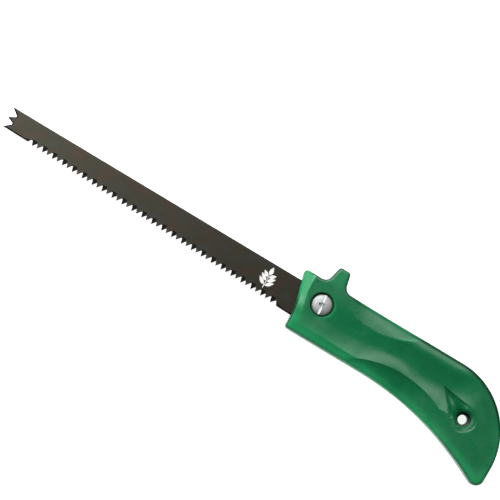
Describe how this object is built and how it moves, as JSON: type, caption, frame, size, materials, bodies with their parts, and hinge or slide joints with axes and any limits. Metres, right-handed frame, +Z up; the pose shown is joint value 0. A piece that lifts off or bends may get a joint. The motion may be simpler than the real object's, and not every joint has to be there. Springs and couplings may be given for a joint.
{
  "type": "folding pruning saw",
  "caption": "Folding pruning saw: straight toothed steel blade with a forked tip, turning on a clamped pivot screw in a curved two-shell plastic handle.",
  "frame": {"origin": "middle of the underside of the whole saw's box, with the blade opened out and the saw lying on its far shell", "axes": "+X from the blade's tip towards the handle's tail, +Y from the teeth towards the blade's back, +Z up through the near shell"},
  "size_m": [0.3918, 0.078, 0.022],
  "materials": {
    "handle_plastic": "glossy moulded green plastic",
    "blade_steel": "dark brown-black lacquered steel with ground teeth",
    "zinc_steel": "bright zinc plating",
    "screw_steel": "dull zinc plating",
    "washer_nylon": "natural nylon"
  },
  "bodies": {
    "handle": {"near_shell": "handle_plastic", "far_shell": "handle_plastic", "pivot_screw": "zinc_steel", "pivot_nut": "zinc_steel", "pivot_bush": "zinc_steel", "head_washer": "zinc_steel", "spring_washer": "zinc_steel", "friction_washer_near": "washer_nylon", "friction_washer_far": "washer_nylon", "stop_pin": "zinc_steel", "shell_screw_tab": "screw_steel", "shell_screw_spine": "screw_steel", "shell_screw_hang": "screw_steel", "shell_screw_tail": "screw_steel"},
    "blade": {"blade": "blade_steel"}
  },
  "joints": [
    {"name": "blade_fold", "type": "hinge", "parent": "handle", "child": "blade", "pos_m": [0.04511, 0.01149, 0.011], "axis": [0, 0, 1], "range_deg": [0, 165]}
  ]
}
